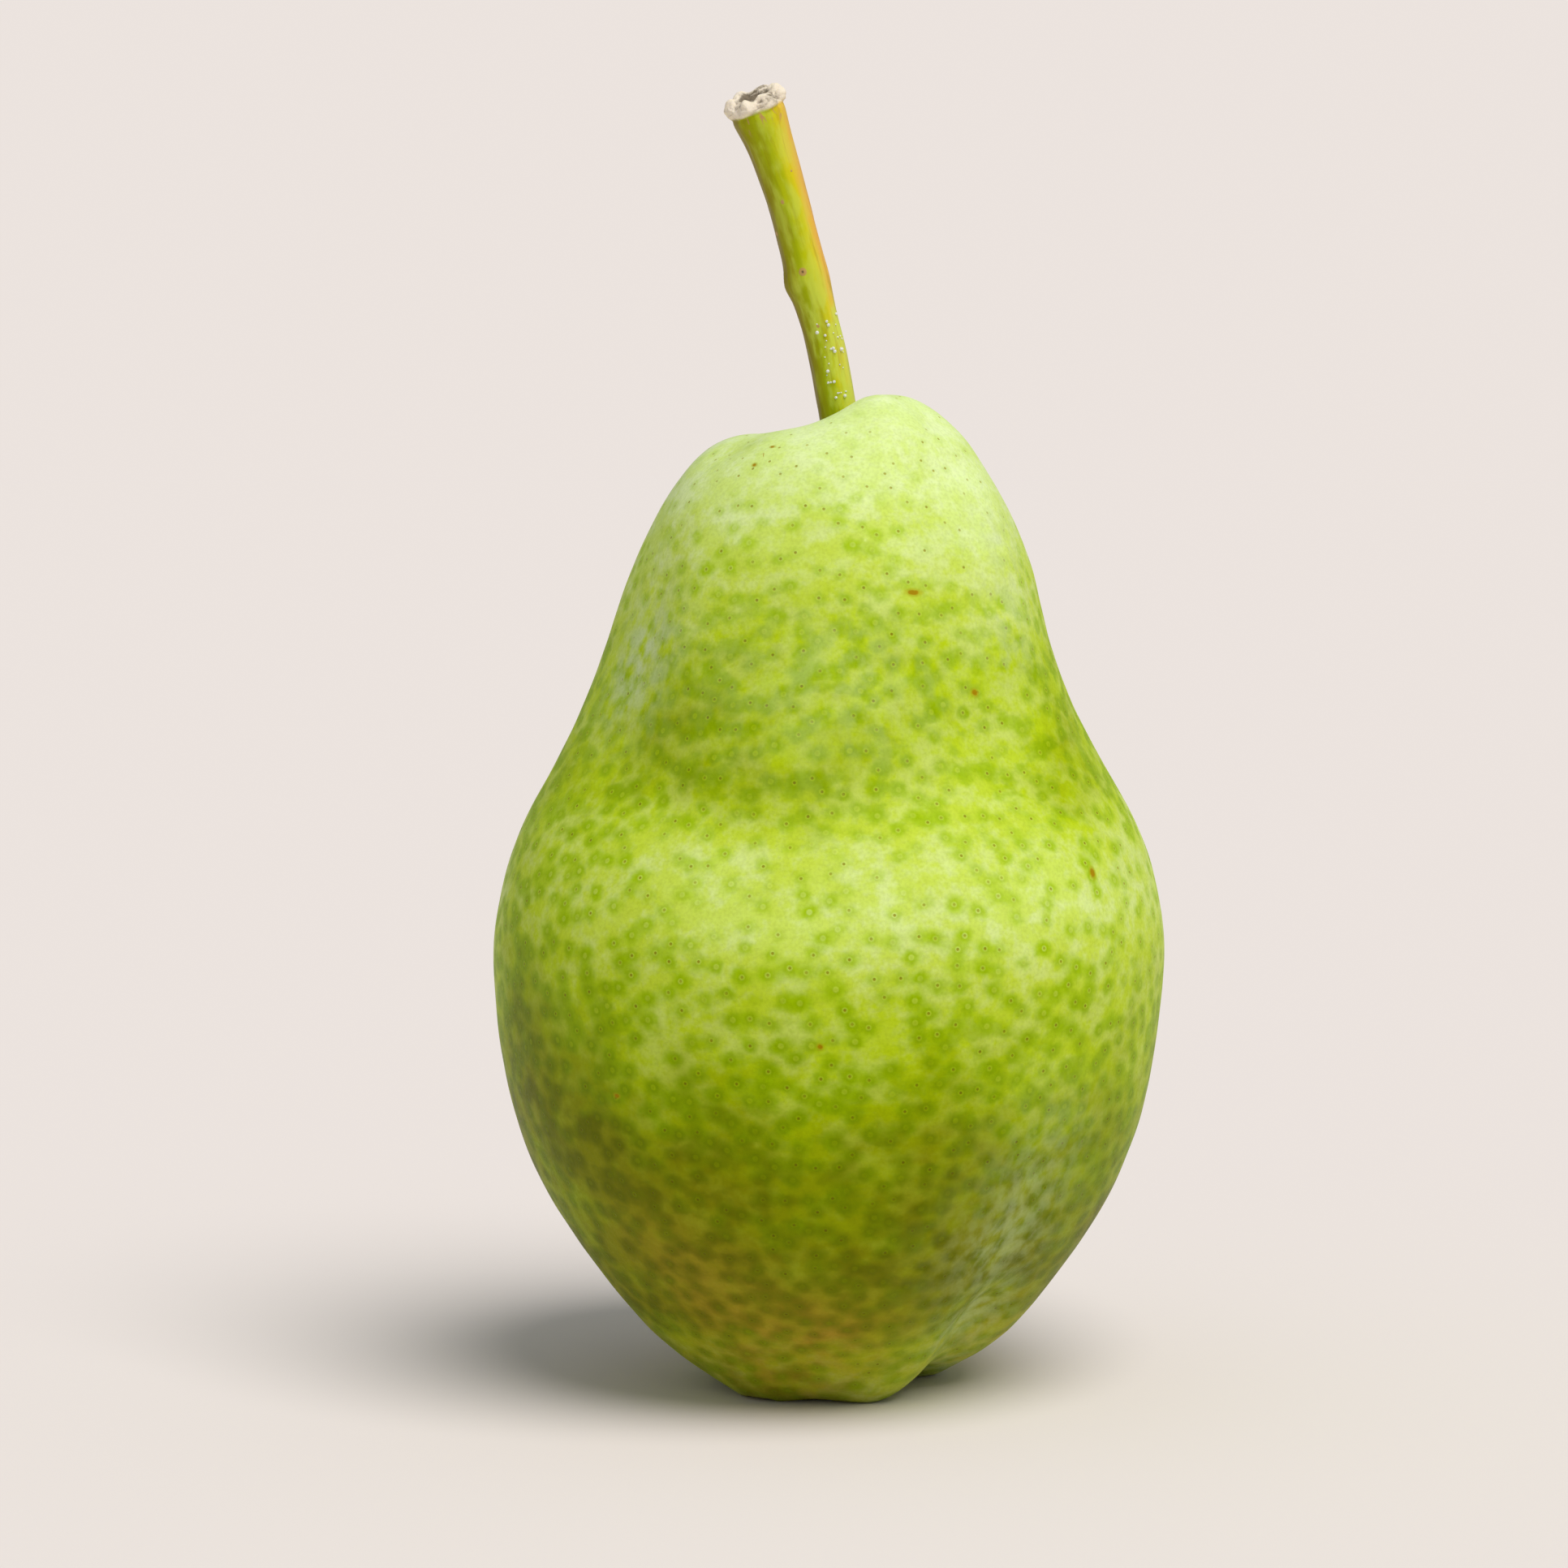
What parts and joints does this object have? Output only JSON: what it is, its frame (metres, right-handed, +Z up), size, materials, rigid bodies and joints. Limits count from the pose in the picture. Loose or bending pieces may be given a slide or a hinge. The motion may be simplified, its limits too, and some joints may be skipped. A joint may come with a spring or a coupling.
{
  "type": "pear",
  "caption": "Whole green European pear as picked: round belly, narrower neck with a fleshy hump, long stem with a corky broken end, and a dried calyx underneath.",
  "frame": {"origin": "on the surface that the pear stands on, under the middle of its bounding box", "axes": "+Z up along the fruit's axis towards the stem, -Y towards the side with the crease under the neck"},
  "size_m": [0.0724, 0.0728, 0.1396],
  "materials": {
    "skin": "satin waxy pear skin, pale yellow-green with dark green halos round its lenticels",
    "stem_bark": "satin olive-green stem, streaked, with an orange flank and a pale corky end",
    "calyx_dry": "matte, dry and brown"
  },
  "bodies": {
    "root": {"fruit": "skin", "stem": "stem_bark", "calyx": "calyx_dry"}
  },
  "joints": []
}
